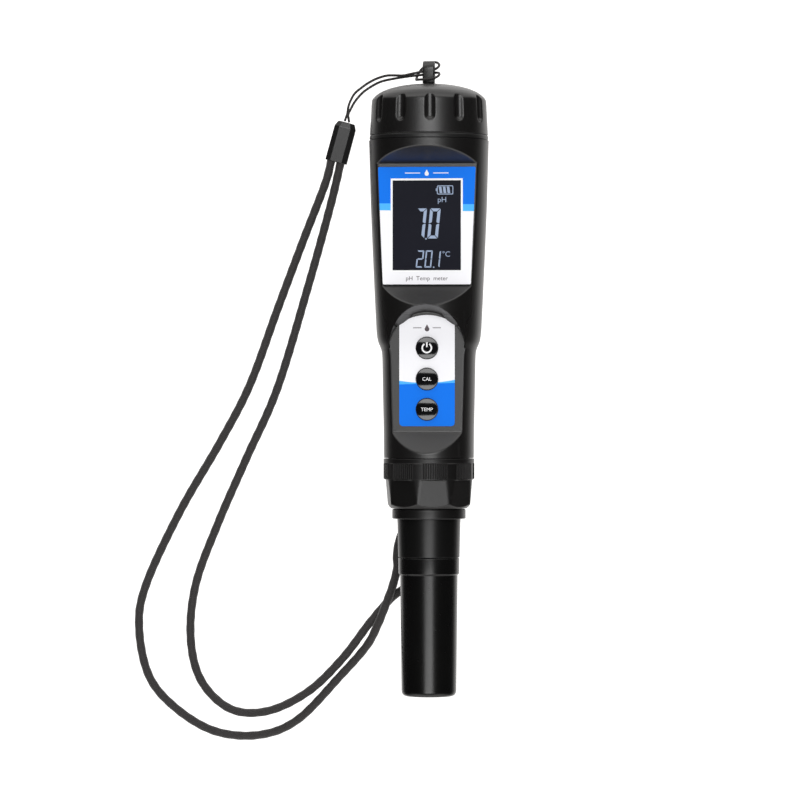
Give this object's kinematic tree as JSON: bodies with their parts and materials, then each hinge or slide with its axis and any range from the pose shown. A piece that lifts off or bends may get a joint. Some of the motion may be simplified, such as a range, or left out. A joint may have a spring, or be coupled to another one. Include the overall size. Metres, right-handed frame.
{
  "type": "pocket ph meter",
  "caption": "Waterproof pocket pH and temperature pen with a display, push keys, a screw battery cap, a draw-out probe under a storage cap, and a cord wrist lanyard.",
  "frame": {"origin": "on the surface the pen rests on, under the centre of the pen's own box (the lanyard left out)", "axes": "+Y along the pen towards the battery cap and its lanyard eye, +Z out of the display, +X to the right as the display is read"},
  "size_m": [0.1107, 0.2089, 0.0366],
  "materials": {
    "housing_black": "satin moulded ABS, near black",
    "cover_black": "satin moulded ABS, near black",
    "display_overlay": "gloss printed polycarbonate window, blue over white",
    "keypad_film": "satin printed polyester film, white over blue",
    "gasket_foam": "closed-cell foam, black",
    "lcd_cell": "dark liquid crystal cell",
    "light_guide": "clear moulded acrylic",
    "zebra_rubber": "layered conductive silicone",
    "board_green": "glass-epoxy board with green solder mask",
    "chip_black": "moulded epoxy",
    "switch_body": "moulded nylon",
    "steel": "plated steel",
    "carrier_grey": "moulded ABS, dark grey",
    "cell_jacket": "printed steel can",
    "spring_steel": "nickel-plated spring steel",
    "seal_rubber": "gloss black rubber",
    "gold_contact": "gold-plated contact",
    "label_film": "silver film label",
    "cap_black": "satin moulded ABS, near black",
    "key_gloss": "high-gloss moulded key, black",
    "probe_black": "satin moulded ABS, near black",
    "nut_black": "satin moulded ABS, near black",
    "storage_black": "smooth gloss moulded polypropylene, black",
    "electrode_blue": "moulded electrode body, dark blue",
    "electrode_glass": "clear pH-sensitive glass",
    "junction_ceramic": "porous ceramic",
    "strap_cord": "braided polyester cord, charcoal",
    "string_cord": "thin braided nylon string, charcoal",
    "sleeve_black": "gloss moulded slip-over sleeve, black"
  },
  "bodies": {
    "housing": {"housing_shell": "housing_black", "front_cover": "cover_black", "display_lens": "display_overlay", "keypad_label": "keypad_film", "lcd_gasket": "gasket_foam", "lcd_glass": "lcd_cell", "backlight": "light_guide", "zebra_strips": "zebra_rubber", "main_board": "board_green", "board_screws": "steel", "board_chips": "chip_black", "key_switches": "switch_body", "battery_carrier": "carrier_grey", "battery_cells": "cell_jacket", "battery_terminals": "spring_steel", "battery_springs": "spring_steel", "cap_seal_ring": "seal_rubber", "probe_socket": "chip_black", "socket_contacts": "gold_contact", "rear_label": "label_film"},
    "cap_core": {"lanyard_eye": "cap_black", "eye_clip": "steel", "eye_o_ring": "seal_rubber", "cap_contact_disc": "board_green", "cap_contact_bar": "gold_contact", "lanyard_string": "string_cord", "lanyard_sleeve": "sleeve_black", "lanyard_strap": "strap_cord"},
    "battery_cap": {"battery_cap": "cap_black"},
    "power_key": {"power_key": "key_gloss", "power_dome": "steel"},
    "cal_key": {"cal_key": "key_gloss", "cal_dome": "steel"},
    "temp_key": {"temp_key": "key_gloss", "temp_dome": "steel"},
    "probe": {"probe_barrel": "probe_black", "probe_collar": "probe_black", "probe_o_ring": "seal_rubber", "probe_pins": "gold_contact", "electrode_body": "electrode_blue", "probe_guard": "probe_black", "glass_bulb": "electrode_glass", "silver_wire": "spring_steel", "reference_junction": "junction_ceramic", "temperature_sensor": "steel", "cap_o_ring": "seal_rubber"},
    "coupling_nut": {"coupling_nut": "nut_black"},
    "storage_cap": {"storage_cap": "storage_black"}
  },
  "joints": [
    {"name": "cap_lift", "type": "slide", "parent": "housing", "child": "cap_core", "axis": [0, 1, 0], "range_m": [0, 0.009]},
    {"name": "cap_turn", "type": "hinge", "parent": "cap_core", "child": "battery_cap", "pos_m": [0, 0.08, 0.0184], "axis": [0, 1, 0], "range_deg": [0, 1080]},
    {"name": "power_press", "type": "slide", "parent": "housing", "child": "power_key", "axis": [0, 0, -1], "range_m": [0, 0.0006], "stiffness_N_per_m": 1500, "deforming": ["power_dome"]},
    {"name": "cal_press", "type": "slide", "parent": "housing", "child": "cal_key", "axis": [0, 0, -1], "range_m": [0, 0.0006], "stiffness_N_per_m": 1500, "deforming": ["cal_dome"]},
    {"name": "temp_press", "type": "slide", "parent": "housing", "child": "temp_key", "axis": [0, 0, -1], "range_m": [0, 0.0006], "stiffness_N_per_m": 1500, "deforming": ["temp_dome"]},
    {"name": "probe_draw", "type": "slide", "parent": "housing", "child": "probe", "axis": [0, -1, 0], "range_m": [0, 0.009]},
    {"name": "nut_turn", "type": "hinge", "parent": "probe", "child": "coupling_nut", "pos_m": [0, -0.032, 0.0184], "axis": [0, -1, 0], "range_deg": [0, 2160]},
    {"name": "storage_cap_pull", "type": "slide", "parent": "probe", "child": "storage_cap", "axis": [0, -1, 0], "range_m": [0, 0.04]}
  ],
  "couplings": [
    {"joint": "cap_lift", "follows": "cap_turn", "m_per_rad": 0.00047746},
    {"joint": "probe_draw", "follows": "nut_turn", "m_per_rad": 0.00023873}
  ]
}
